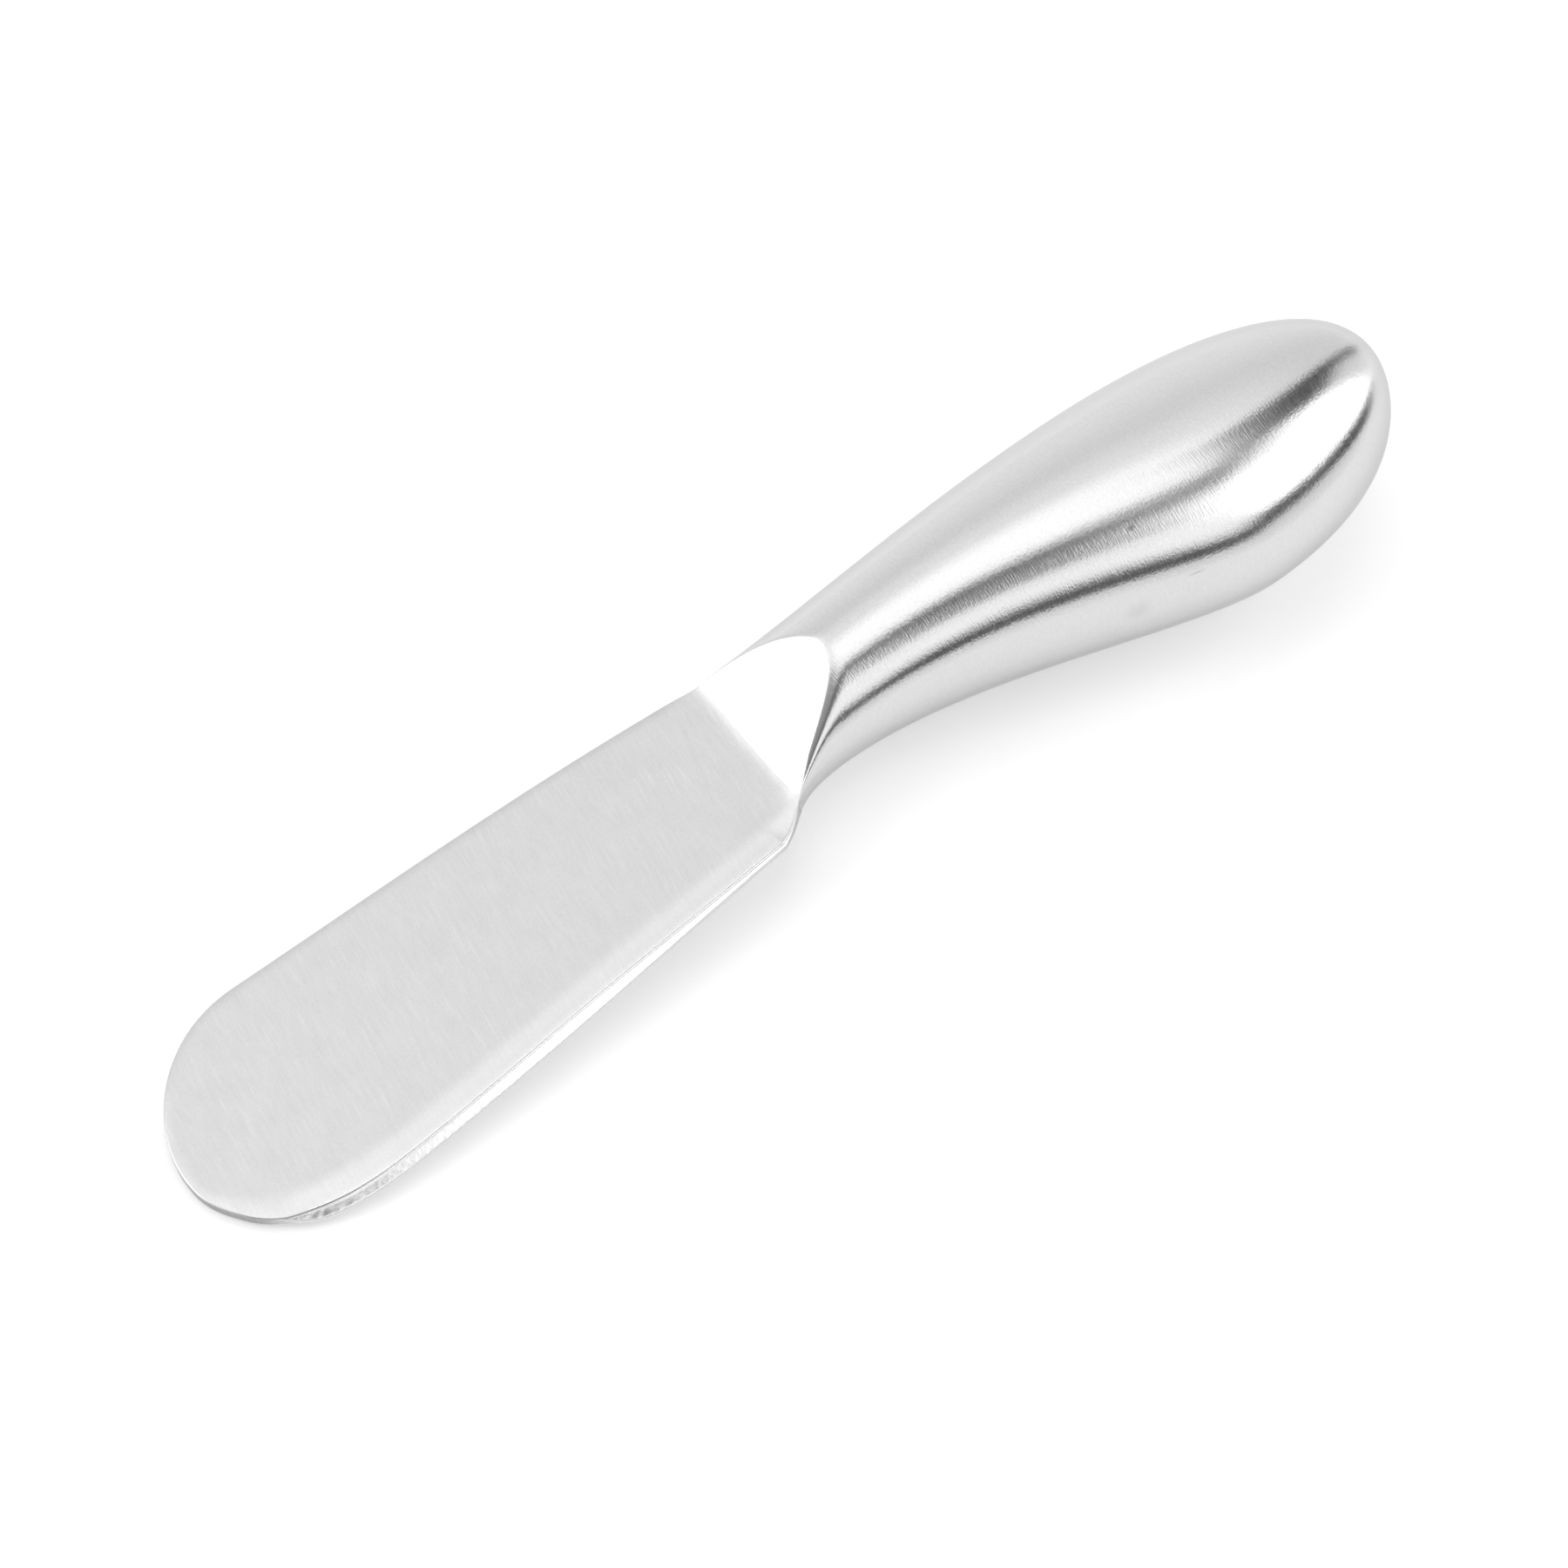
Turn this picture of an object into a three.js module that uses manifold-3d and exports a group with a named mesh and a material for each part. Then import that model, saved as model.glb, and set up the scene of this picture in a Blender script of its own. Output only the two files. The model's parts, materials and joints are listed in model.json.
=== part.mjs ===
// Cheese spreader in stainless steel: a stamped blade whose tang is cemented into a hollow handle of two
// pressed half shells, brazed together along their seam. Millimetres, +Z up, lying on a table.
import * as THREE from "three";
import { mergeVertices, toCreasedNormals } from "three/addons/utils/BufferGeometryUtils.js";
import Module from "manifold-3d";

const wasm = await Module();
wasm.setup();

// The knife's own axes: x from the bend line, where the blade meets the handle, towards the butt;
// y from the line through the butt's end towards the straight back edge; z from mid-blade upwards.
// An ease is how far a smooth line keeps its heading on either side of a stop.

// Blade
const bladeLength = 65;
const bladeThickness = 1.5;
const bladeBackReach = 11.4;
const bladeFrontReach = 12.5;
const widestFromTip = 14;
const tipOffset = 1.9;
const tipBackEase = 5.8;
const tipFrontEase = 4.2;
const roundBackEase = 8.7;
const roundFrontEase = 12.2;
const backEdgeEase = 18;
const backEdgeSlope = 4.5;
const frontEdgeEase = 6.4;
const frontEdgeSlope = 6.7;
const shoulderEase = 24;
const shoulderAt = 3.6;
const shoulderReach = 7.5;
const neckCurveEase = 1.7;
const neckCurveSlope = 26;

// Rolled rim of the blade: wide along the front edge, dying out round the tip to the back edge
const rimFrontWidth = 2.8;
const rimBackWidth = 0.4;
const rimDrop = 0.3;
const rimRoll = 60; // degrees round the roll at which its middle line lies
const edgeLean = 0.5; // how far the foot of the front edge stands out past its top

// Root and tang of the blade, inside the handle
const rootDepth = 5;
const tangWidth = 7;
const tangLength = 38;
const keyHoleRadius = 1.8;
const keyHoleFromEnd = 9;

// Handle, seen from above
const handleLength = 70.7;
const neckBack = 10.4;
const neckFront = 5.4;
const neckFrontSlope = 38;
const neckFrontEase = 2.4;
const neckBackEase = 12;
const waistAt = 8.4;
const waistReach = 3.45;
const waistEaseIn = 3.4;
const waistEaseOut = 15.8;
const crestFromButt = 30.5;
const crestReach = 12.3;
const crestEaseIn = 16;
const crestEaseOut = 19.2;
const bellyFromButt = 21;
const bellyReach = 12.85;
const bellyEaseIn = 8.2;
const bellyEaseOut = 16.2;
const buttBackEase = 7.5;
const buttFrontEase = 3.8;

// Handle, seen from the side
const handleThickness = 20;
const fullestFromButt = 24.7;
const fullestEaseIn = 16;
const fullestEaseOut = 13;
const neckThickness = 11.2;
const neckRise = 5.7;
const neckRiseEase = 12;
const buttHeightEase = 7;
const rampAngle = 32;

// Hollow, filling and seam
const shellWall = 1;
const cementEnd = 44;
const brazeWidth = 1;
const brazeHeight = 2.4;
const fitGap = 0.3;

// Fineness of the surfaces
const skinRings = 34;
const skinSides = 36;
const hollowRings = 20;
const hollowSides = 24;
const outlineSteps = 12;
const tangSteps = 6;
const lineSteps = 72;
const holeSides = 20;
const creaseAngle = Math.PI / 7;
const weldDistance = 1e-5;

const satinSteel = { color: 0xd4d6d8, roughness: 0.3, metalness: 1 };
const resinFilling = { color: 0x8d887c, roughness: 0.9, metalness: 0 };
const brazeMetal = { color: 0xc9b06a, roughness: 0.45, metalness: 1 };

const beyond = bladeLength + handleLength;
const halfBlade = bladeThickness / 2;
const radians = THREE.MathUtils.degToRad;

// A point that a smooth line passes at a given heading, in degrees
function stop(x, y, heading, easeIn, easeOut = easeIn) {
  const at = new THREE.Vector2(x, y);
  const along = new THREE.Vector2(Math.cos(radians(heading)), Math.sin(radians(heading)));
  const arrive = at.clone().addScaledVector(along, -easeIn);
  const leave = at.clone().addScaledVector(along, easeOut);
  return { at, arrive, leave };
}

function smoothLine(...stops) {
  const line = new THREE.CurvePath();
  for (let i = 1; i < stops.length; i++) {
    const from = stops[i - 1];
    const to = stops[i];
    line.add(new THREE.CubicBezierCurve(from.at, from.leave, to.arrive, to.at));
  }
  return line;
}

// The three lines that shape the handle, or its hollow when they are set in by a wall
function backLine(inset) {
  return smoothLine(
    stop(0, neckBack - inset, 0, neckBackEase),
    stop(handleLength - crestFromButt, crestReach - inset, 0, crestEaseIn, crestEaseOut),
    stop(handleLength - inset, 0, -90, buttBackEase),
  );
}

function frontLine(inset) {
  return smoothLine(
    stop(0, inset - neckFront, neckFrontSlope, neckFrontEase),
    stop(waistAt, inset - waistReach, 0, waistEaseIn, waistEaseOut),
    stop(handleLength - bellyFromButt, inset - bellyReach, 0, bellyEaseIn, bellyEaseOut),
    stop(handleLength - inset, 0, 90, buttFrontEase),
  );
}

function heightLine(inset) {
  return smoothLine(
    stop(0, neckThickness / 2 - inset, neckRise, neckRiseEase),
    stop(handleLength - fullestFromButt, handleThickness / 2 - inset, 0, fullestEaseIn, fullestEaseOut),
    stop(handleLength - inset, 0, -90, buttHeightEase),
  );
}

// Sections that join the back and front lines at equal shares of their lengths
function handleSections(inset, count) {
  const back = backLine(inset);
  const front = frontLine(inset);
  const height = heightLine(inset);
  const sections = [];
  for (let i = 0; i <= count; i++) {
    const share = i / count;
    const from = front.getPoint(share);
    const to = back.getPoint(share);
    const middle = from.clone().add(to).multiplyScalar(0.5);
    sections.push({ middle, half: to.sub(middle), height: height.getPoint(share).y });
  }
  return sections;
}

function ellipseRing(section, sides) {
  const ring = [];
  for (let i = 0; i < sides; i++) {
    const angle = (2 * Math.PI * i) / sides;
    const flat = section.middle.clone().addScaledVector(section.half, Math.cos(angle));
    ring.push(new THREE.Vector3(flat.x, flat.y, section.height * Math.sin(angle)));
  }
  return ring;
}

// A closed skin over rings that run counterclockwise as seen from the last ring's side
function skinOver(rings, flatten) {
  const count = rings[0].length;
  const triangles = [];
  for (let r = 0; r + 1 < rings.length; r++) {
    for (let k = 0; k < count; k++) {
      const a = r * count + k;
      const b = r * count + ((k + 1) % count);
      triangles.push(a, b, a + count, b, b + count, a + count);
    }
  }
  const last = (rings.length - 1) * count;
  for (const [a, b, c] of THREE.ShapeUtils.triangulateShape(rings[0].map(flatten), [])) {
    triangles.push(a, c, b);
  }
  for (const [a, b, c] of THREE.ShapeUtils.triangulateShape(rings.at(-1).map(flatten), [])) {
    triangles.push(last + a, last + b, last + c);
  }
  const geometry = new THREE.BufferGeometry().setFromPoints(rings.flat());
  geometry.setIndex(triangles);
  return toSolid(geometry);
}

function toSolid(geometry) {
  geometry.deleteAttribute("normal");
  geometry.deleteAttribute("uv");
  const merged = mergeVertices(geometry, weldDistance);
  const corners = merged.index.array;
  const triVerts = [];
  for (let i = 0; i < corners.length; i += 3) {
    const [a, b, c] = corners.subarray(i, i + 3);
    if (a !== b && b !== c && c !== a) triVerts.push(a, b, c);
  }
  const vertProperties = merged.getAttribute("position").array;
  return new wasm.Manifold(
    new wasm.Mesh({ numProp: 3, vertProperties, triVerts: new Uint32Array(triVerts) }),
  );
}

function toGeometry(solid) {
  const { vertProperties, triVerts } = solid.getMesh();
  const geometry = new THREE.BufferGeometry();
  geometry.setAttribute("position", new THREE.BufferAttribute(vertProperties, 3));
  geometry.setIndex(new THREE.BufferAttribute(triVerts, 1));
  return toCreasedNormals(geometry, creaseAngle);
}

function block(low, high) {
  const size = high.clone().sub(low);
  const geometry = new THREE.BoxGeometry(size.x, size.y, size.z);
  const middle = low.clone().add(high).multiplyScalar(0.5);
  return toSolid(geometry.translate(middle.x, middle.y, middle.z));
}

// A slab across the whole knife between two distances along it and two heights
function slab(fromX, toX, fromZ, toZ) {
  return block(new THREE.Vector3(fromX, -beyond, fromZ), new THREE.Vector3(toX, beyond, toZ));
}

function uprightRod(x, y, radius, height) {
  const geometry = new THREE.CylinderGeometry(radius, radius, height, holeSides);
  return toSolid(geometry.rotateX(Math.PI / 2).translate(x, y, 0));
}

// The space between the two ramps that rise from the blade's faces into the handle
function rampSpace(inset) {
  const start = inset / Math.sin(radians(rampAngle));
  const end = halfBlade + (handleLength - start) * Math.tan(radians(rampAngle));
  const side = new THREE.Shape([
    new THREE.Vector2(start, -halfBlade),
    new THREE.Vector2(handleLength, -end),
    new THREE.Vector2(handleLength, end),
    new THREE.Vector2(start, halfBlade),
  ]);
  const geometry = new THREE.ExtrudeGeometry(side, { depth: 2 * beyond, bevelEnabled: false });
  return toSolid(geometry.translate(0, 0, -beyond).rotateX(Math.PI / 2));
}

function handleForm(inset, ringCount, sides) {
  const rings = handleSections(inset, ringCount).map((section) => ellipseRing(section, sides));
  return skinOver(rings, (p) => new THREE.Vector2(p.y, p.z)).intersect(rampSpace(inset));
}

function hollowForm(inset) {
  return handleForm(inset, hollowRings, hollowSides);
}

// Width of the rolled rim at a place on the blade's outline: none at the neck
function rimWidth(x, y) {
  const towardsFront = (bladeBackReach - y) / (bladeBackReach + bladeFrontReach);
  const share = THREE.MathUtils.clamp(towardsFront, 0, 1) ** 2;
  const fade = THREE.MathUtils.smoothstep(-x, 0, shoulderAt);
  return fade * THREE.MathUtils.lerp(rimBackWidth, rimFrontWidth, share);
}

// Back edge, round tip, front edge and shoulder, from the neck's back to its front
function bladeEdge() {
  const widestAt = widestFromTip - bladeLength;
  return smoothLine(
    stop(0, neckBack, 180 - backEdgeSlope, backEdgeEase),
    stop(widestAt, bladeBackReach, 180, backEdgeEase, roundBackEase),
    stop(-bladeLength, -tipOffset, -90, tipBackEase, tipFrontEase),
    stop(widestAt, -bladeFrontReach, 0, roundFrontEase, frontEdgeEase),
    stop(-shoulderAt, -shoulderReach, frontEdgeSlope, shoulderEase),
  ).curves.concat(
    smoothLine(
      stop(-shoulderAt, -shoulderReach, neckCurveSlope, neckCurveEase),
      stop(0, -neckFront, neckFrontSlope, neckCurveEase),
    ).curves,
  );
}

// The part of a handle line that the blade's root follows
function rootEdge(line) {
  const points = line.getSpacedPoints(lineSteps);
  const inside = points.filter((p) => p.x > 0 && p.x < rootDepth);
  const last = inside.at(-1);
  const next = points.find((p) => p.x >= rootDepth);
  return [...inside, last.clone().lerp(next, (rootDepth - last.x) / (next.x - last.x))];
}

function tangMiddle() {
  return (neckBack - waistReach) / 2;
}

// The blade's outline, closed along the bend line
function bladeOutline() {
  const edge = bladeEdge().flatMap((curve) => curve.getPoints(outlineSteps).slice(0, -1));
  return [...edge, new THREE.Vector2(0, -neckFront)];
}

// The outline of the root and tang, from the bend line into the handle
function rootOutline() {
  const tang = new THREE.Path();
  const half = tangWidth / 2;
  tang.moveTo(rootDepth, tangMiddle() - half);
  tang.lineTo(tangLength - half, tangMiddle() - half);
  tang.absarc(tangLength - half, tangMiddle(), half, -Math.PI / 2, Math.PI / 2);
  tang.lineTo(rootDepth, tangMiddle() + half);
  const front = [new THREE.Vector2(0, -neckFront), ...rootEdge(frontLine(0))];
  const back = [new THREE.Vector2(0, neckBack), ...rootEdge(backLine(0))].reverse();
  return [...front, ...tang.getPoints(tangSteps), ...back];
}

// The outline drawn in by a share of the rim's width, at one height
function rimRing(outline, share, z) {
  return outline.map((p, i) => {
    const before = outline.at(i - 1);
    const after = outline[(i + 1) % outline.length];
    const inward = new THREE.Vector2(before.y - after.y, after.x - before.x).normalize();
    const drawn = p.clone().addScaledVector(inward, share * rimWidth(p.x, p.y));
    return new THREE.Vector3(drawn.x, drawn.y, z);
  });
}

// Sheet steel inside an outline, with its front edge rolled and leaning
function plate(outline) {
  const edgeHeight = halfBlade - rimDrop;
  const rollHeight = edgeHeight + rimDrop * Math.sin(radians(rimRoll));
  const rollShare = 1 - Math.cos(radians(rimRoll));
  const leanShare = edgeLean / rimFrontWidth;
  return skinOver(
    [
      rimRing(outline, 1, -halfBlade),
      rimRing(outline, rollShare - leanShare, -rollHeight),
      rimRing(outline, -leanShare, -edgeHeight),
      rimRing(outline, 0, edgeHeight),
      rimRing(outline, rollShare, rollHeight),
      rimRing(outline, 1, halfBlade),
    ],
    (p) => new THREE.Vector2(p.x, p.y),
  );
}

function bladeSolid() {
  const keyHole = uprightRod(tangLength - keyHoleFromEnd, tangMiddle(), keyHoleRadius, 2 * bladeThickness);
  return plate(bladeOutline()).add(plate(rootOutline())).subtract(keyHole);
}

// The mouth that the two shells leave for the blade's root
function rootSlot() {
  return slab(-rootDepth, rootDepth + fitGap, -halfBlade - fitGap, halfBlade + fitGap);
}

function handleSkin() {
  return handleForm(0, skinRings, skinSides).subtract(hollowForm(shellWall)).subtract(rootSlot());
}

function upperShellSolid() {
  return handleSkin().intersect(slab(-beyond, beyond, fitGap / 2, beyond));
}

function lowerShellSolid() {
  return handleSkin().intersect(slab(-beyond, beyond, -beyond, -fitGap / 2));
}

function brazeRun(clearance) {
  const outside = shellWall + fitGap - clearance;
  const inside = shellWall + fitGap + brazeWidth + clearance;
  const reach = brazeHeight / 2 + clearance;
  const along = slab(rootDepth + 2 * (fitGap - clearance), beyond, -reach, reach);
  return hollowForm(outside).subtract(hollowForm(inside)).intersect(along);
}

function cementSolid() {
  const half = tangWidth / 2 + fitGap;
  const thick = halfBlade + fitGap;
  const tangSpace = block(
    new THREE.Vector3(rootDepth, tangMiddle() - half, -thick),
    new THREE.Vector3(tangLength + fitGap, tangMiddle() + half, thick),
  );
  const keyHeight = 2 * thick + 2 * fitGap;
  const key = uprightRod(tangLength - keyHoleFromEnd, tangMiddle(), keyHoleRadius - fitGap, keyHeight);
  return hollowForm(shellWall + fitGap)
    .intersect(slab(0, cementEnd, -beyond, beyond))
    .subtract(rootSlot())
    .subtract(tangSpace)
    .subtract(brazeRun(fitGap))
    .add(key);
}

// The knife lies on the blade's lower face at the tip and on the underside of its handle
function lyingAngle() {
  const tip = rimWidth(-bladeLength, -tipOffset) - bladeLength;
  const angles = handleSections(0, skinRings).map((section) =>
    Math.atan2(section.height - halfBlade, section.middle.x - tip),
  );
  return Math.max(...angles);
}

function piece(name, solid, finish) {
  const mesh = new THREE.Mesh(toGeometry(solid), new THREE.MeshStandardMaterial(finish));
  mesh.name = name;
  return mesh;
}

const knife = new THREE.Group();
knife.add(
  piece("blade", bladeSolid(), satinSteel),
  piece("upper_handle_shell", upperShellSolid(), satinSteel),
  piece("lower_handle_shell", lowerShellSolid(), satinSteel),
  piece("tang_cement", cementSolid(), resinFilling),
  piece("seam_braze", brazeRun(0), brazeMetal),
);
knife.rotation.y = -lyingAngle();

// The table is z = 0, under the middle of the knife's box
const box = new THREE.Box3().setFromObject(knife, true);
const middle = box.getCenter(new THREE.Vector3());
knife.position.set(-middle.x, -middle.y, -box.min.z);

const spreader = new THREE.Group();
spreader.add(knife);

export default spreader;
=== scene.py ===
# Studio model of a satin stainless cheese spreader: a flat blade with a rolled front rim, cemented
# into a hollow handle of two pressed half shells. The pieces are shaped in millimetres on the
# knife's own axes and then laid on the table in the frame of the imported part, in metres.
import json
import math
from bisect import bisect

import bmesh
import bpy
from mathutils import Matrix, Vector, noise
from mathutils.geometry import interpolate_bezier


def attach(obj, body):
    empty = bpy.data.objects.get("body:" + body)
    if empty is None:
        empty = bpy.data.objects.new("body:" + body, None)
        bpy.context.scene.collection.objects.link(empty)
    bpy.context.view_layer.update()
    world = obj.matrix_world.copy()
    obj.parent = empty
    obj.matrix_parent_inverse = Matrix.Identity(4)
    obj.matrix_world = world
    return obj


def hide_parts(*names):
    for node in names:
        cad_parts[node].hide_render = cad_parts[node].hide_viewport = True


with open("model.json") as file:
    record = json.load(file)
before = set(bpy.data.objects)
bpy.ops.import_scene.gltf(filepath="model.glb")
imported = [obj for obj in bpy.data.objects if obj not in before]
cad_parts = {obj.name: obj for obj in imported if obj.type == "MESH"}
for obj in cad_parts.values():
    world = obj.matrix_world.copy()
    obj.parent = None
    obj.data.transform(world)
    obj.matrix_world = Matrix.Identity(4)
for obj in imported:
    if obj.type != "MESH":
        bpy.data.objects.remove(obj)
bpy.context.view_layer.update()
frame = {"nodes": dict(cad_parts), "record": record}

# Blade, in millimetres. x runs from the bend line towards the butt, y towards the straight back
# edge, z up from mid-blade. An ease is how far a smooth line keeps its heading on either side of a
# stop, and a slope is that heading in degrees.
BLADE_LENGTH = 65.0
HALF_BLADE = 0.75
BLADE_BACK_REACH = 11.4
BLADE_FRONT_REACH = 12.5
WIDEST_FROM_TIP = 14.0
TIP_OFFSET = 1.9
TIP_EASES = 5.8, 4.2
ROUND_BACK_EASE = 8.7
ROUND_FRONT_EASE = 12.2
BACK_EDGE_SLOPE = 4.5
BACK_EDGE_EASE = 18.0
FRONT_EDGE_SLOPE = 6.7
FRONT_EDGE_EASE = 6.4
SHOULDER_AT = 3.6
SHOULDER_REACH = 7.5
SHOULDER_EASE = 24.0
NECK_CURVE_SLOPE = 26.0
NECK_CURVE_EASE = 1.7
BRUSH_SLANT = math.radians(9)

# Rolled rims of the blade, its ground front edge and the sheared edge at its tip. Facing is how far
# the edge looks to the front: each feature starts at the first limit and is full at the second.
RIM_FRONT_WIDTH = 2.8
RIM_BACK_WIDTH = 1.0
RIM_NECK_WIDTH = 1.3
RIM_DROP = 0.38
RIM_BACK_SHARE = 0.2
RIM_FACING = 0.1, 0.9
RIM_NECK_DROP = 0.06
RIM_RUN_OUT = 0.06
LOWER_RIM_BACK = 0.4
LOWER_RIM_DROP = 0.3
FOOT_LEAN = 0.5
TIP_PULL = 0.5
TIP_DROP_SHARE = 0.5
TIP_FACING = 0.1, 0.6
GROUND_LEAN = 0.85
GROUND_HEIGHT = 0.56
GROUND_NECK_SHARE = 0.3
GROUND_WIDENS = 2.0, 30.0
GROUND_FACING = 0.84, 0.98
EDGE_ROUND = 0.07
EDGE_LIP = 0.06
CHATTER_DEPTH = 0.04
CHATTER_PER_MM = 2.6
CHATTER_SEED = 3.7
CHATTER_GROWS = 22.0, 45.0
CHATTER_FACING = 0.7, 0.95
# Worn ground edge below the rim; round the tip, painted shade that darkens the sheared edge up to
# its own height and fades into the wear behind the tip
WORN_HEIGHT = 0.47
WEAR_AND_SHADE_BLEND = 0.04
TIP_SHADE_HEIGHT = 0.59
TIP_SHADE_TO_WEAR = 2.5, 6.0

# Root and tang of the blade; the root's brushing starts just past the bend line
ROOT_DEPTH = 5.0
TANG_WIDTH = 7.0
TANG_LENGTH = 38.0
KEY_HOLE_RADIUS = 1.8
KEY_HOLE_FROM_END = 9.0
SEAT_PLAY = 0.006
ROOT_FROM = 0.01

# Handle
HANDLE_LENGTH = 70.7
NECK_BACK = 10.4
NECK_BACK_EASE = 12.0
CREST_FROM_BUTT = 30.5
CREST_REACH = 12.3
CREST_EASES = 16.0, 19.2
BUTT_BACK_EASE = 7.5
NECK_FRONT = 5.4
NECK_FRONT_SLOPE = 38.0
NECK_FRONT_EASE = 2.4
WAIST_AT = 8.4
WAIST_REACH = 3.45
WAIST_EASES = 3.4, 15.8
BELLY_FROM_BUTT = 21.0
BELLY_REACH = 12.85
BELLY_EASES = 8.2, 16.2
BUTT_FRONT_EASE = 3.8
HANDLE_THICKNESS = 20.0
FULLEST_FROM_BUTT = 24.7
FULLEST_EASES = 16.0, 13.0
BUTT_HEIGHT_EASE = 7.0
NECK_THICKNESS = 11.2
NECK_RISE = 5.7
NECK_RISE_EASE = 12.0
NECK_SWELL = 0.1
RAMP_ANGLE = math.radians(32)
SHELL_WALL = 1.0
BACK_CREASE = 0.35
FRONT_CREASE = 1.8
BEND_ROUND = 1.8
FRONT_BEND_ROUND = 5.0
FRONT_BEND_FROM = 0.5
# Ramps and the sides beside them: polished wear, and a slight painted highlight along the crease
RAMP_WEAR_AND_HIGHLIGHT_BESIDE = 0.5
RAMP_WEAR_AND_HIGHLIGHT_TO = 9.0, 11.0

# How finely the meshes are drawn, and from what angle an edge is sharp
OUTLINE_STEP = 0.13
LINE_STEP = 0.2
SHELL_RINGS = 230
SHELL_SIDES = 200
HOLLOW_RINGS = 60
SHARP_ANGLE = math.radians(40)

# Bare steel: how light and rough it is on the whole, and how deep its brush marks are in metres
BLADE_TONE = 0.615
BLADE_ROUGHNESS = 0.30
BLADE_MARK_DEPTH = 1.2e-6
HANDLE_TONE = 0.65
HANDLE_ROUGHNESS = 0.21
HANDLE_MARK_DEPTH = 1.4e-5
GRAZING_TINT = 0.78, 0.78, 0.78, 1

# The photograph's view: turned round the table's upright, above it, the lens's distance, the place
# on the knife that it looks at in millimetres, and how far that is from the picture's middle
VIEW_TURN = math.radians(36.5)
VIEW_RISE = math.radians(57)
VIEW_DISTANCE = 0.6
VIEW_AIM = 4.3
VIEW_SIDE = -0.0042
VIEW_LIFT = 0.0044
VIEW_LENS = 151.2


# Smooth lines through stops

def stop(x, y, heading, ease_in, ease_out=None):
    """A point that a smooth line passes at a heading in degrees: where it comes, is and leaves."""
    along = Vector((math.cos(math.radians(heading)), math.sin(math.radians(heading)), 0))
    at = Vector((x, y, 0))
    return at - along * ease_in, at, at + along * (ease_in if ease_out is None else ease_out)


def back_stops(inset):
    return [
        stop(0, NECK_BACK - inset, 0, NECK_BACK_EASE),
        stop(HANDLE_LENGTH - CREST_FROM_BUTT, CREST_REACH - inset, 0, *CREST_EASES),
        stop(HANDLE_LENGTH - inset, 0, -90, BUTT_BACK_EASE),
    ]


def front_stops(inset):
    return [
        stop(0, inset - NECK_FRONT, NECK_FRONT_SLOPE, NECK_FRONT_EASE),
        stop(WAIST_AT, inset - WAIST_REACH, 0, *WAIST_EASES),
        stop(HANDLE_LENGTH - BELLY_FROM_BUTT, inset - BELLY_REACH, 0, *BELLY_EASES),
        stop(HANDLE_LENGTH - inset, 0, 90, BUTT_FRONT_EASE),
    ]


def height_stops(inset):
    return [
        stop(0, NECK_THICKNESS / 2 - inset, NECK_RISE, NECK_RISE_EASE),
        stop(HANDLE_LENGTH - FULLEST_FROM_BUTT, HANDLE_THICKNESS / 2 - inset, 0, *FULLEST_EASES),
        stop(HANDLE_LENGTH - inset, 0, -90, BUTT_HEIGHT_EASE),
    ]


def points_along(stops, step):
    """Points at about one spacing along a line, stop by stop, without the last one."""
    points = []
    fine_steps = 400
    for (_, start, leave), (arrive, end, _) in zip(stops, stops[1:]):
        fine = interpolate_bezier(start, leave, arrive, end, fine_steps)
        lengths = [0.0]
        for a, b in zip(fine, fine[1:]):
            lengths.append(lengths[-1] + (b - a).length)
        count = max(2, math.ceil(lengths[-1] / step))
        k = 0
        for i in range(count):
            goal = lengths[-1] * i / count
            while lengths[k + 1] < goal:
                k += 1
            share = (goal - lengths[k]) / (lengths[k + 1] - lengths[k])
            points.append(fine[k].lerp(fine[k + 1], share))
    return points


def line_at(points, x):
    """Height y of a line of points at a place along the knife."""
    k = min(max(bisect(points, x, key=lambda p: p.x), 1), len(points) - 1)
    a, b = points[k - 1], points[k]
    share = min(max((x - a.x) / max(b.x - a.x, 1e-9), 0.0), 1.0)
    return a.y + (b.y - a.y) * share


def smoothstep(value, low, high):
    t = min(max((value - low) / (high - low), 0.0), 1.0)
    return t * t * (3 - 2 * t)


def bend_rise(x, y):
    """Height of the ramp over the blade's face. The hollow of the bend is eased, most at the front,
    by the curve that a Smooth Maximum node gives the shells."""
    front = smoothstep(-y, FRONT_BEND_FROM, NECK_FRONT)
    size = BEND_ROUND + (FRONT_BEND_ROUND - BEND_ROUND) * front
    near = max(size - abs(x), 0.0) / size
    return math.tan(RAMP_ANGLE) * (max(x, 0.0) + near ** 3 * size / 6)


# Node trees

class Wire:
    """A value on a node tree's wire; sums on it add Math nodes to the tree."""

    def __init__(self, tree, socket):
        self.tree = tree
        self.socket = socket

    def math(self, operation, *others):
        node = self.tree.nodes.new("ShaderNodeMath")
        node.operation = operation
        for slot, value in zip(node.inputs, (self, *others)):
            feed(self.tree, slot, value)
        return Wire(self.tree, node.outputs[0])

    def __add__(self, other):
        return self.math("ADD", other)

    def __sub__(self, other):
        return self.math("SUBTRACT", other)

    def __mul__(self, other):
        return self.math("MULTIPLY", other)

    def __truediv__(self, other):
        return self.math("DIVIDE", other)

    def within(self, low, high):
        return self.math("MAXIMUM", low).math("MINIMUM", high)


def feed(tree, socket, value):
    if isinstance(value, Wire):
        tree.links.new(value.socket, socket)
    else:
        socket.default_value = value


def put(tree, kind, inputs=None, out=0, **settings):
    """Adds a node with its settings and inputs, and gives the wire of one output."""
    node = tree.nodes.new(kind)
    for key, value in settings.items():
        setattr(node, key, value)
    for key, value in (inputs or {}).items():
        feed(tree, node.inputs[key], value)
    return Wire(tree, node.outputs[out])


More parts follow.
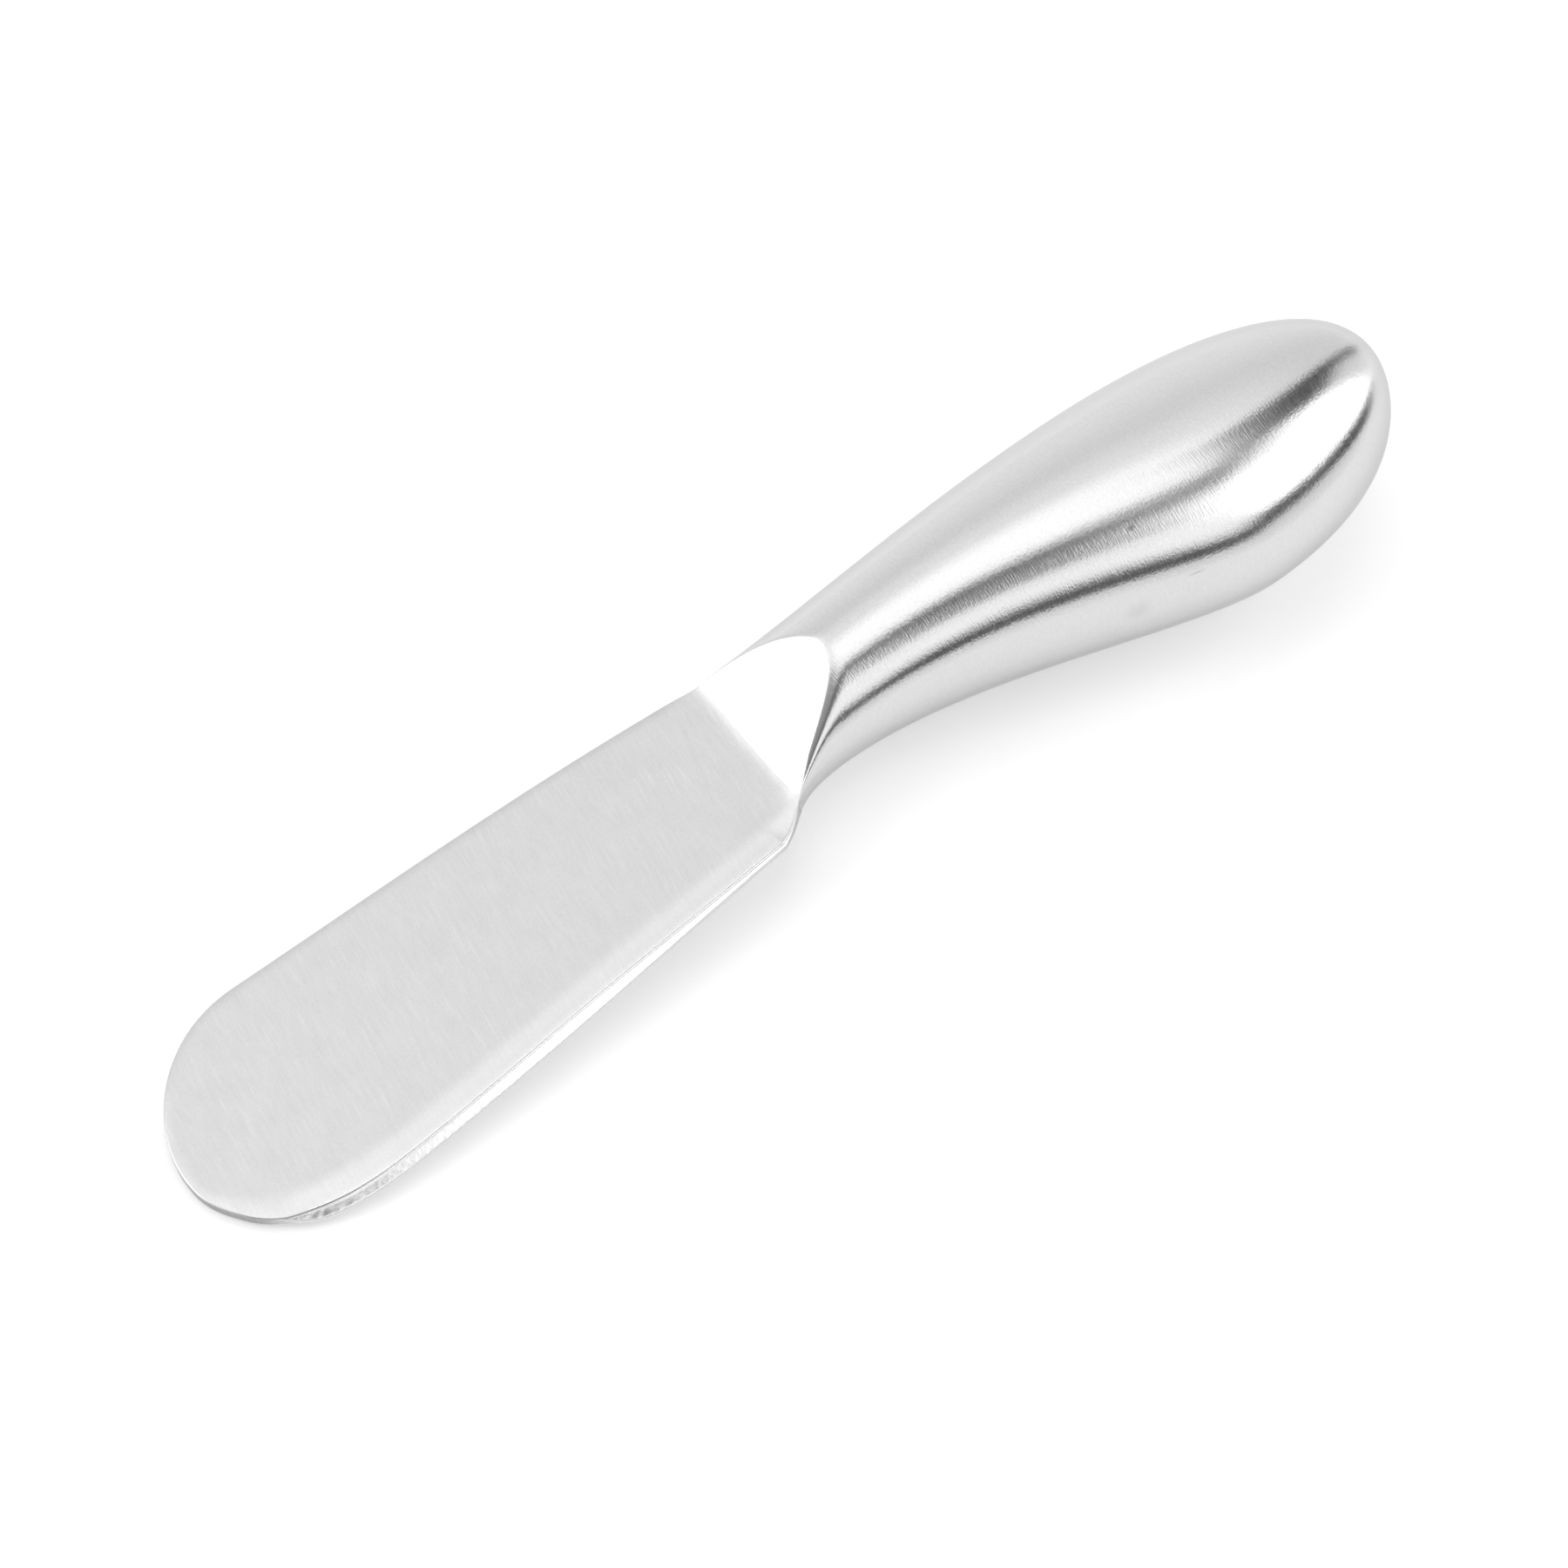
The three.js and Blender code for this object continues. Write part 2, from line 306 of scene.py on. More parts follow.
def split(tree, vector):
    node = put(tree, "ShaderNodeSeparateXYZ", {0: vector}).socket.node
    return [Wire(tree, socket) for socket in node.outputs]


def join(tree, x, y, z):
    return put(tree, "ShaderNodeCombineXYZ", {0: x, 1: y, 2: z})


def eased_range(tree, value, low, high, start, end):
    """Goes smoothly from start to end as a value goes from low to high."""
    limits = {"Value": value, "From Min": low, "From Max": high, "To Min": start, "To Max": end}
    return put(tree, "ShaderNodeMapRange", limits, interpolation_type="SMOOTHSTEP")


# Half shells of the handle, by Geometry Nodes

def handle_form(tree, lines, sizes, rings, sides, start, ramp_from, mouth, floor):
    """Closed half of a handle: oval sections between a back and a front line, pressed down to the
    ramp. A tube's side makes the skin over most of its round, and closes the half with the rest."""
    skin = 0.95
    even = 0.35
    dip_slope = 8.0
    rim_fade = 2.0
    crease_per_mm = 0.33
    least_crease = 0.1
    same_place = 0.0005
    ring_places = (0.40, 0.145), (0.62, 0.42), (0.86, 0.84)
    tube = put(
        tree, "GeometryNodeMeshCylinder",
        {"Vertices": sides, "Side Segments": rings, "Radius": 1.0, "Depth": 1.0}, fill_type="NGON",
    )
    across, up, along = split(tree, put(tree, "GeometryNodeInputPosition"))
    spread = tree.nodes.new("ShaderNodeFloatCurve")
    curve = spread.mapping.curves[0]
    curve.points[1].location = (1.0, 1.0)
    for place in ring_places:
        curve.points.new(*place)
    spread.mapping.update()
    feed(tree, spread.inputs["Value"], along + 0.5)
    share = Wire(tree, spread.outputs[0]) * (1.0 - start) + start

    def at_share(line):
        wire = put(tree, "GeometryNodeObjectInfo", {"Object": line}, "Geometry")
        sample = {"Curves": wire, "Factor": share}
        return split(tree, put(tree, "GeometryNodeSampleCurve", sample, "Position", mode="FACTOR",
                               use_all_curves=True))

    back_x, back_y, _ = at_share(lines[0])
    front_x, front_y, _ = at_share(lines[1])
    _, height, _ = at_share(lines[2])

    turn = up.math("ARCTAN2", across) / (2 * math.pi) + 0.5
    over = (turn / skin).within(0.0, 1.0)
    eased = (over * math.pi).math("COSINE") * ((even - 1) / 2) + (1 - even) / 2
    angle = (over * even + eased) * math.pi
    under = ((turn - skin) / (1.0 - skin)).within(0.0, 1.0)
    side = angle.math("COSINE") + under * 2.0
    x = (back_x + front_x) * 0.5 + (back_x - front_x) * 0.5 * side
    y = (back_y + front_y) * 0.5 + (back_y - front_y) * 0.5 * side
    rising = under * -dip_slope + dip_slope
    dip = (under * dip_slope).math("MINIMUM", rising).math("MINIMUM", 1.0)
    oval = height * (angle.math("SINE") - dip * floor)
    bend = eased_range(tree, y * -1.0, sizes["Front bend from"], sizes["Neck front"],
                       sizes["Bend"], sizes["Front bend"])
    run = (x - ramp_from).math("SMOOTH_MAX", 0.0, bend)
    inset = (y - front_y) / sizes["Rim width"]
    rim = (inset * -1.0 + 1.0).within(0.0, 1.0).math("POWER", 2.0) * sizes["Rim drop"]
    fading = (x / -rim_fade + 1.0).within(0.0, 1.0)
    ramp = run * sizes["Ramp angle"].math("TANGENT") + mouth - rim * fading
    front = (side * -0.5 + 0.5).math("POWER", 2.0)
    opening = (x * crease_per_mm).within(least_crease, 1.0)
    crease = front * (sizes["Front crease"] - sizes["Back crease"]) * opening
    z = oval.math("SMOOTH_MIN", ramp, crease + sizes["Back crease"])
    shaped = put(tree, "GeometryNodeSetPosition",
                 {"Geometry": tube, "Position": join(tree, x, y, z)})
    return put(tree, "GeometryNodeMergeByDistance", {"Geometry": shaped, "Distance": same_place})


def half_shell_tree():
    tree = bpy.data.node_groups.new("pressed half shell", "GeometryNodeTree")
    named = (
        ("Back line", "Object"), ("Front line", "Object"), ("Height line", "Object"),
        ("Hollow back line", "Object"), ("Hollow front line", "Object"),
        ("Hollow height line", "Object"),
        ("Rings", "Int"), ("Sides", "Int"), ("Half blade", "Float"), ("Ramp angle", "Float"),
        ("Back crease", "Float"), ("Front crease", "Float"), ("Bend", "Float"),
        ("Front bend", "Float"), ("Front bend from", "Float"), ("Neck front", "Float"),
        ("Rim width", "Float"), ("Rim drop", "Float"), ("Wall", "Float"), ("Root depth", "Float"),
        ("Side", "Float"), ("Finish", "Material"),
    )
    for name, kind in named:
        tree.interface.new_socket(name=name, in_out="INPUT", socket_type="NodeSocket" + kind)
    tree.interface.new_socket(name="Shell", in_out="OUTPUT", socket_type="NodeSocketGeometry")
    entry = tree.nodes.new("NodeGroupInput")
    sizes = {name: Wire(tree, entry.outputs[name]) for name, _ in named}

    skin = handle_form(
        tree, [sizes["Back line"], sizes["Front line"], sizes["Height line"]], sizes,
        sizes["Rings"], sizes["Sides"], start=0.0, ramp_from=0.0,
        mouth=sizes["Half blade"], floor=0.0,
    )
    hollow_lines = [sizes[f"Hollow {side} line"] for side in ("back", "front", "height")]
    hollow = handle_form(
        tree, hollow_lines, sizes, HOLLOW_RINGS, HOLLOW_RINGS, start=0.03,
        ramp_from=sizes["Wall"] / sizes["Ramp angle"].math("SINE"),
        mouth=sizes["Half blade"] * 0.8, floor=0.3,
    )

    past_both_sides = 80.0
    mouth_size = join(tree, sizes["Root depth"] * 2.0, past_both_sides, sizes["Half blade"] * 2.0)
    mouth = put(tree, "GeometryNodeMeshCube", {"Size": mouth_size})
    seated = put(tree, "GeometryNodeMeshBoolean", {"Mesh 1": skin, "Mesh 2": mouth},
                 operation="DIFFERENCE", solver="EXACT")
    shell = put(tree, "GeometryNodeMeshBoolean", {"Mesh 1": seated, "Mesh 2": hollow},
                operation="DIFFERENCE", solver="EXACT")
    x, y, z = split(tree, put(tree, "GeometryNodeInputPosition"))
    laid = put(tree, "GeometryNodeSetPosition",
               {"Geometry": shell, "Position": join(tree, x, y, z * sizes["Side"])})
    turned = put(tree, "GeometryNodeFlipFaces",
                 {"Mesh": laid, "Selection": sizes["Side"].math("LESS_THAN", 0.0)})
    smooth = put(tree, "GeometryNodeSetShadeSmooth", {"Geometry": turned})
    whole = put(tree, "GeometryNodeRealizeInstances", {"Geometry": smooth})
    done = put(tree, "GeometryNodeSetMaterial", {"Geometry": whole, "Material": sizes["Finish"]})
    feed(tree, tree.nodes.new("NodeGroupOutput").inputs["Shell"], done)
    return tree


def bent_line(name, stops):
    curve = bpy.data.curves.new(name, "CURVE")
    curve.dimensions = "3D"
    curve.resolution_u = 600
    spline = curve.splines.new("BEZIER")
    spline.bezier_points.add(len(stops) - 1)
    for point, (arrive, at, leave) in zip(spline.bezier_points, stops):
        point.handle_left_type = "FREE"
        point.handle_right_type = "FREE"
        point.co = at
        point.handle_left = arrive
        point.handle_right = leave
    line = bpy.data.objects.new(name, curve)
    bpy.context.scene.collection.objects.link(line)
    return line


def plain_mesh(obj):
    """The evaluated shape of an object as a plain mesh; the object goes."""
    bpy.context.view_layer.update()
    mesh = bpy.data.meshes.new_from_object(obj.evaluated_get(bpy.context.evaluated_depsgraph_get()))
    bpy.data.objects.remove(obj)
    return mesh


def half_shell_mesh(tree, lines, side, finish):
    holder = bpy.data.objects.new("shell blank", bpy.data.meshes.new("shell blank"))
    bpy.context.scene.collection.objects.link(holder)
    modifier = holder.modifiers.new("pressing", "NODES")
    modifier.node_group = tree
    settings = {
        "Rings": SHELL_RINGS, "Sides": SHELL_SIDES, "Half blade": HALF_BLADE,
        "Ramp angle": RAMP_ANGLE, "Back crease": BACK_CREASE, "Front crease": FRONT_CREASE,
        "Bend": BEND_ROUND, "Front bend": FRONT_BEND_ROUND, "Front bend from": FRONT_BEND_FROM,
        "Neck front": NECK_FRONT, "Rim width": RIM_NECK_WIDTH, "Rim drop": RIM_NECK_DROP,
        "Wall": SHELL_WALL, "Root depth": ROOT_DEPTH, "Side": side, "Finish": finish, **lines,
    }
    for item in tree.interface.items_tree:
        if item.in_out == "INPUT":
            modifier[item.identifier] = settings[item.name]
    return plain_mesh(holder)


# Blade, by rings of points drawn in from its outline

def lower_rim(y):
    """Width of the lower face's rim, from the back edge to the front."""
    share = min(max((BLADE_BACK_REACH - y) / (BLADE_BACK_REACH + BLADE_FRONT_REACH), 0.0), 1.0)
    return LOWER_RIM_BACK + (RIM_FRONT_WIDTH - LOWER_RIM_BACK) * share ** 2


def blade_outline():
    widest = WIDEST_FROM_TIP - BLADE_LENGTH
    edge = points_along([
        stop(0, NECK_BACK, 180 - BACK_EDGE_SLOPE, BACK_EDGE_EASE),
        stop(widest, BLADE_BACK_REACH, 180, BACK_EDGE_EASE, ROUND_BACK_EASE),
        stop(-BLADE_LENGTH, -TIP_OFFSET, -90, *TIP_EASES),
        stop(widest, -BLADE_FRONT_REACH, 0, ROUND_FRONT_EASE, FRONT_EDGE_EASE),
        stop(-SHOULDER_AT, -SHOULDER_REACH, FRONT_EDGE_SLOPE, SHOULDER_EASE),
    ], OUTLINE_STEP)
    neck = points_along([
        stop(-SHOULDER_AT, -SHOULDER_REACH, NECK_CURVE_SLOPE, NECK_CURVE_EASE),
        stop(0, -NECK_FRONT, NECK_FRONT_SLOPE, NECK_CURVE_EASE),
    ], OUTLINE_STEP)
    return edge + neck + [Vector((0, -NECK_FRONT, 0))]


def edge_profile(width, drop, lower_width, lower_drop, flat, spare, ground, chatter):
    """Steps across the edge from the lower face to the upper: how far in, and how high. Below the
    rim the edge leans in over its ground height, and stands upright down to the lower rim."""
    low = lower_drop - HALF_BLADE
    high = HALF_BLADE - drop
    lip = high - EDGE_LIP
    foot = lip - GROUND_HEIGHT * ground
    top = GROUND_LEAN * ground - spare
    near, far = EDGE_ROUND * 0.12, EDGE_ROUND * 0.45
    steps = []
    for q in (1 + flat, 1.0, 0.75, 0.5, 0.25, 0.06):
        rise = lower_drop * (1 - min(q, 1.0)) ** 2
        steps.append((-spare + (lower_width + spare) * q, rise - HALF_BLADE))
    steps.append((-spare + chatter, low + EDGE_ROUND))
    steps.append((-spare + chatter, foot - EDGE_LIP / 2))
    for q, bulge in ((0.06, 1.0), (0.25, 0.8), (0.5, -0.6), (0.75, -0.4), (0.94, 0.0)):
        steps.append((-spare + (top + spare) * q + chatter * bulge, foot + (lip - foot) * q))
    steps.append((top + near, high - far))
    steps.append((top + far, high - near))
    for q in (0.06, 0.12, 0.25, 0.4, 0.55, 0.7, 0.85, 1.0, 1 + flat):
        steps.append((top + width * q, HALF_BLADE - drop * (1 - min(q, 1.0)) ** 2))
    return steps


def inward_ways(outline):
    """Smooth directions from the outline into the plate, square to the bend line at both ends."""
    looked_along = 3.0
    squared_within = 2.5
    reach = round(looked_along / OUTLINE_STEP)
    ways = []
    for i, p in enumerate(outline):
        span = max(min(reach, i, len(outline) - 1 - i), 1)
        before = outline[max(i - span, 0)]
        after = outline[min(i + span, len(outline) - 1)]
        way = Vector((before.y - after.y, after.x - before.x, 0)).normalized()
        square = Vector((0, -math.copysign(1, p.y), 0))
        ways.append(square.lerp(way, smoothstep(-p.x, 0, squared_within)).normalized())
    return ways


def edge_at(i, p, inward):
    """The edge's steps at one point of the outline. How far the edge faces the front sets its rim,
    its ground strip and, round the tip, the upright sheared edge."""
    at_neck = smoothstep(-p.x, 0, SHOULDER_AT)
    front = smoothstep(inward.y, *RIM_FACING)
    ground = smoothstep(inward.y, *GROUND_FACING)
    tipwards = smoothstep(inward.x, 0.0, 0.1)
    at_tip = (1 - ground) * smoothstep(inward.y, *TIP_FACING) * tipwards
    width = RIM_BACK_WIDTH + (RIM_FRONT_WIDTH - RIM_BACK_WIDTH) * front
    width = RIM_NECK_WIDTH + (width - RIM_NECK_WIDTH) * at_neck
    neck_drop = RIM_NECK_DROP if p.y < 0 else 0.0
    drop = RIM_DROP * (RIM_BACK_SHARE + (1 - RIM_BACK_SHARE) * front)
    drop *= 1 - TIP_DROP_SHARE * at_tip
    drop = neck_drop + (drop - neck_drop) * at_neck
    lower_width = RIM_NECK_WIDTH + (lower_rim(p.y) - RIM_NECK_WIDTH) * at_neck
    lower_drop = neck_drop + (LOWER_RIM_DROP - neck_drop) * at_neck
    spare = FOOT_LEAN * lower_rim(p.y) / RIM_FRONT_WIDTH * at_neck - TIP_PULL * at_tip
    full = smoothstep(-p.x, *GROUND_WIDENS)
    ground *= (GROUND_NECK_SHARE + (1 - GROUND_NECK_SHARE) * full) * at_neck
    rough = smoothstep(-p.x, *CHATTER_GROWS) * smoothstep(inward.y, *CHATTER_FACING)
    wave = noise.noise(Vector((i * OUTLINE_STEP * CHATTER_PER_MM, CHATTER_SEED, 0)))
    return edge_profile(width, drop, lower_width, lower_drop, RIM_RUN_OUT * at_neck, spare, ground,
                        wave * CHATTER_DEPTH * rough)


def plate_mesh():
    """The blade up to the bend line, cut finely near it so that its face can rise into the ramp."""
    outline = blade_outline()
    shape = bmesh.new()
    rings = []
    for i, (p, inward) in enumerate(zip(outline, inward_ways(outline))):
        column = []
        for inset, z in edge_at(i, p, inward):
            place = p + inward * inset
            column.append(shape.verts.new((place.x, place.y, z)))
        rings.append(column)
    steps = len(rings[0])
    for a, b in zip(rings, rings[1:] + rings[:1]):
        for k in range(steps - 1):
            shape.faces.new((a[k], b[k], b[k + 1], a[k + 1]))
    shape.faces.new([column[0] for column in reversed(rings)])
    shape.faces.new([column[-1] for column in rings])
    bmesh.ops.remove_doubles(shape, verts=shape.verts, dist=1e-6)
    cuts_across, cuts_along, margin = 14, 10, 0.5
    front_bend = NECK_FRONT - FRONT_BEND_FROM
    cuts = [((-FRONT_BEND_ROUND * k / cuts_across, 0, 0), (1, 0, 0))
            for k in range(1, cuts_across + 1)]
    cuts += [((0, -FRONT_BEND_FROM - front_bend * k / cuts_along, 0), (0, 1, 0))
             for k in range(cuts_along)]
    for place, across in cuts:
        near = [f for f in shape.faces
                if max(v.co.x for v in f.verts) > -FRONT_BEND_ROUND - margin]
        parts = [*near, *(e for f in near for e in f.edges), *(v for f in near for v in f.verts)]
        bmesh.ops.bisect_plane(shape, geom=list(dict.fromkeys(parts)), dist=1e-5,
                               plane_co=place, plane_no=across)
    middle = (NECK_BACK - NECK_FRONT) / 2
    for v in shape.verts:
        if v.co.x > -FRONT_BEND_ROUND:
            lifted = min(abs(v.co.z) / (HALF_BLADE - RIM_NECK_DROP), 1.0)
            v.co.z += math.copysign(lifted, v.co.z) * bend_rise(min(v.co.x, 0.0), v.co.y)
            drawn_in = 1 - math.sqrt(1 - (2 * v.co.z / NECK_THICKNESS) ** 2)
            v.co.y -= (v.co.y - middle) * drawn_in * (1 - smoothstep(-v.co.x, 0, SHOULDER_AT))
    bmesh.ops.triangulate(shape, faces=[f for f in shape.faces if len(f.verts) > 4])
    bmesh.ops.recalc_face_normals(shape, faces=shape.faces)
    mesh = bpy.data.meshes.new("plate")
    shape.to_mesh(mesh)
    shape.free()
    return mesh


def root_mesh(back, front):
    """Root, flush with the handle's sides, and tang; it starts inside the plate."""
    middle = (NECK_BACK - WAIST_REACH) / 2
    half_tang = TANG_WIDTH / 2
    start, steps = 0.02, 16
    into_plate, clear_of_side = -1.0, 0.4
    places = [start + (ROOT_DEPTH - start) * i / steps for i in range(steps + 1)]
    outline = [(into_plate, -NECK_FRONT + clear_of_side, 0.0)]
    outline += [(x, line_at(front, x), 1.0) for x in places]
    outline.append((ROOT_DEPTH, middle - half_tang, 0.0))
    for i in range(steps + 1):
        a = -math.pi / 2 + math.pi * i / steps
        end = TANG_LENGTH - half_tang + half_tang * math.cos(a)
        outline.append((end, middle + half_tang * math.sin(a), 0.0))
    outline.append((ROOT_DEPTH, middle + half_tang, 0.0))
    outline += [(x, line_at(back, x), 1.0) for x in reversed(places)]
    outline.append((into_plate, NECK_BACK - clear_of_side, 0.0))
    heights = [(HALF_BLADE - SEAT_PLAY) * s for s in (-1, -0.6, -0.2, 0.2, 0.6, 1)]
    shape = bmesh.new()
    rings = []
    for z in heights:
        ring = []
        for x, y, flush in outline:
            mid = (line_at(back, max(x, 0.0)) + line_at(front, max(x, 0.0))) / 2
            half_height = NECK_THICKNESS / 2 + NECK_SWELL * x
            oval = math.sqrt(1 - (z / half_height) ** 2) if flush else 1.0
            ring.append(shape.verts.new((x, mid + (y - mid) * oval, z)))
        rings.append(ring)
    count = len(outline)
    for a, b in zip(rings, rings[1:]):
        for k in range(count):
            n = (k + 1) % count
            shape.faces.new((a[k], a[n], b[n], b[k]))
    shape.faces.new(reversed(rings[0]))
    shape.faces.new(rings[-1])
    bmesh.ops.recalc_face_normals(shape, faces=shape.faces)
    mesh = bpy.data.meshes.new("root")
    shape.to_mesh(mesh)
    shape.free()
    return mesh


def key_hole_mesh():
    shape = bmesh.new()
    middle = (NECK_BACK - WAIST_REACH) / 2
    place = Matrix.Translation((TANG_LENGTH - KEY_HOLE_FROM_END, middle, 0))
    bmesh.ops.create_cone(
        shape, cap_ends=True, segments=40, radius1=KEY_HOLE_RADIUS, radius2=KEY_HOLE_RADIUS,
        depth=4 * HALF_BLADE, matrix=place,
    )
    mesh = bpy.data.meshes.new("key hole")
    shape.to_mesh(mesh)
    shape.free()
    return mesh


def blade_mesh(back, front):
    def blank(mesh):
        obj = bpy.data.objects.new(mesh.name, mesh)
        bpy.context.scene.collection.objects.link(obj)
        return obj

    plate = blank(plate_mesh())
    tools = [(blank(root_mesh(back, front)), "UNION"), (blank(key_hole_mesh()), "DIFFERENCE")]
    for tool, work in tools:
        cut = plate.modifiers.new(tool.name, "BOOLEAN")
        cut.object = tool
        cut.operation = work
        cut.solver = "EXACT"
    mesh = plain_mesh(plate)
    for tool, _ in tools:
        bpy.data.objects.remove(tool)
    return mesh


# Marks that the finishes read

def mark_mesh(mesh, brush_place, wear_and_painted_light_at):
    """Keeps the brushing's own coordinates, in centimetres, and a value for each point that the
    finishes read: how far it is worn, below nought painted shade on the blade's tip, and on the
    handle's ramps also a slight painted highlight.
    """
    places = [brush_place(v.co) for v in mesh.vertices]
    uv = mesh.uv_layers.new(name="brushing")
    for loop in mesh.loops:
        u, v = places[loop.vertex_index]
        uv.data[loop.index].uv = (u / 10, v / 10)
    worn = mesh.attributes.new("worn", "FLOAT", "POINT")
    for v in mesh.vertices:
        worn.data[v.index].value = wear_and_painted_light_at(v.co)


def handle_brush(back, front, start):
    """Places along and round the handle; a shell takes its own stretch of the brushing."""
    mean_radius = 9

    def place(co):
        x = min(max(co.x, 0.0), HANDLE_LENGTH)
        middle = (line_at(back, x) + line_at(front, x)) / 2
        return start + co.x, math.atan2(abs(co.z), co.y - middle) * mean_radius
    return place


def handle_wear_and_crease_highlight(co):
    """The ramps, and the handle's sides next to them: polished wear, and a slight painted highlight
    along the crease.
    """
    ramp = HALF_BLADE + bend_rise(co.x, co.y)
    near = 1 - smoothstep(abs(abs(co.z) - ramp), 0.0, RAMP_WEAR_AND_HIGHLIGHT_BESIDE)
    return near * (1 - smoothstep(co.x, *RAMP_WEAR_AND_HIGHLIGHT_TO))


def blade_brush(handle_place):
    """Places along and across the blade; its root is brushed together with the handle."""
    s, c = math.sin(BRUSH_SLANT), math.cos(BRUSH_SLANT)

    def place(co):
        if co.x > ROOT_FROM:
            return handle_place(co)
        return co.x * c - co.y * s, co.x * s + co.y * c
    return place


def blade_wear_and_tip_shade(co):
    """The ground edge's wear below the rim; on the root, as on the handle. Below nought round the
    tip: painted shade that darkens the sheared edge there."""
    if co.x > ROOT_FROM:
        return handle_wear_and_crease_highlight(co)
    behind_tip = smoothstep(BLADE_LENGTH + co.x, *TIP_SHADE_TO_WEAR)
    height = TIP_SHADE_HEIGHT + (WORN_HEIGHT - TIP_SHADE_HEIGHT) * behind_tip
    edge = smoothstep(height - abs(co.z), 0.0, WEAR_AND_SHADE_BLEND)
    return edge * smoothstep(-co.x, 1.5, FRONT_BEND_ROUND + 1) * (2 * behind_tip - 1)


# Finishes

def material(name):
    finish = bpy.data.materials.new(name)
    finish.use_nodes = True
    tree = finish.node_tree
    return finish, tree, tree.nodes["Principled BSDF"]


def brushing(tree):
    """Places on the brushing's own map, in centimetres along the knife and round or across it."""
    x, y, _ = split(tree, put(tree, "ShaderNodeUVMap", uv_map="brushing"))
    return x, y


def strokes(tree, per_length, per_round, seed, detail=3.0):
    """Noise drawn out along the brushing, with that many strokes to a centimetre each way."""
    x, y = brushing(tree)
    drawn = join(tree, x * per_length, y * per_round, seed)
    return put(tree, "ShaderNodeTexNoise", {"Vector": drawn, "Scale": 1.0, "Detail": detail})


def grit(tree, per_metre, detail=2.0):
    where = put(tree, "ShaderNodeTexCoord", out="Object")
    return put(tree, "ShaderNodeTexNoise", {"Vector": where, "Scale": per_metre, "Detail": detail})


def two_tones(tree, share, dark, light):
    """A colour between two, by the Mix node's colour sockets."""
    colours = {"Factor": share, 6: (*dark, 1), 7: (*light, 1)}
    return put(tree, "ShaderNodeMix", colours, out=2, data_type="RGBA")


def emboss(tree, shader, height, strength, depth):
    bump = put(tree, "ShaderNodeBump", {"Height": height, "Strength": strength, "Distance": depth})
    feed(tree, shader.inputs["Normal"], bump)


def scuff(tree, x, round_at, length, width):
    """A soft spot on the brushing's map, by its place and half sizes in millimetres."""
    u, v = brushing(tree)
    along = (u - x / 10) / (length / 10)
    across = (v - round_at / 10) / (width / 10)
    far = (along * along + across * across).math("SQRT")
    return eased_range(tree, far, 0.0, 1.0, 1.0, 0.0)


def finish_steel(tree, shader, tone, rough, height, depth):
    """Bare steel whose reflections are drawn out along the knife by brush marks across it."""
    shader.inputs["Metallic"].default_value = 1.0
    shader.inputs["Specular Tint"].default_value = GRAZING_TINT
    grey = tone.within(0.0, 0.95)
    feed(tree, shader.inputs["Base Color"], join(tree, grey, grey, grey))
    feed(tree, shader.inputs["Roughness"], rough.within(0.05, 0.9))
    emboss(tree, shader, height, 1.0, depth)
    tangent = put(tree, "ShaderNodeTangent", direction_type="UV_MAP", uv_map="brushing")
    feed(tree, shader.inputs["Tangent"], tangent)


def blade_finish():
    finish, tree, shader = material("brushed blade steel")
    shader.inputs["Anisotropic"].default_value = 0.7
    fine = strokes(tree, 70, 3.5, 0.0)
    broad = strokes(tree, 20, 2.5, 5.0)
    cloud = grit(tree, 380.0, 4.0)
    grain = grit(tree, 5000.0)
    worn = put(tree, "ShaderNodeAttribute", out="Fac", attribute_name="worn")
    edge = worn.math("MAXIMUM", 0.0)
    # Below nought, round the tip, the value darkens the sheared edge: painted shade standing in for
    # the contact shadow that the edge reflects
    tip_painted_shade = worn.math("MINIMUM", 0.0)
    chatter = grit(tree, 2000.0)
    sparse = (strokes(tree, 26, 2.0, 9.0, 1.0) - 0.62).within(0.0, 1.0)
    streaks = (fine - 0.5) * 0.08 + (broad - 0.5) * 0.05 + (grain - 0.5) * 0.09 + sparse * 0.25
    tone = streaks + (cloud - 0.5) * 0.04 + edge * 0.08 + tip_painted_shade * 0.2 + BLADE_TONE
    rough = (fine - 0.5) * 0.08 + (cloud - 0.5) * 0.05 - edge * 0.08 + BLADE_ROUGHNESS
    height = (fine + broad * 0.6 + grain * 0.6) * (edge * -1.0 + 1.0) + chatter * edge * 11.0
    finish_steel(tree, shader, tone, rough, height, BLADE_MARK_DEPTH)
    return finish


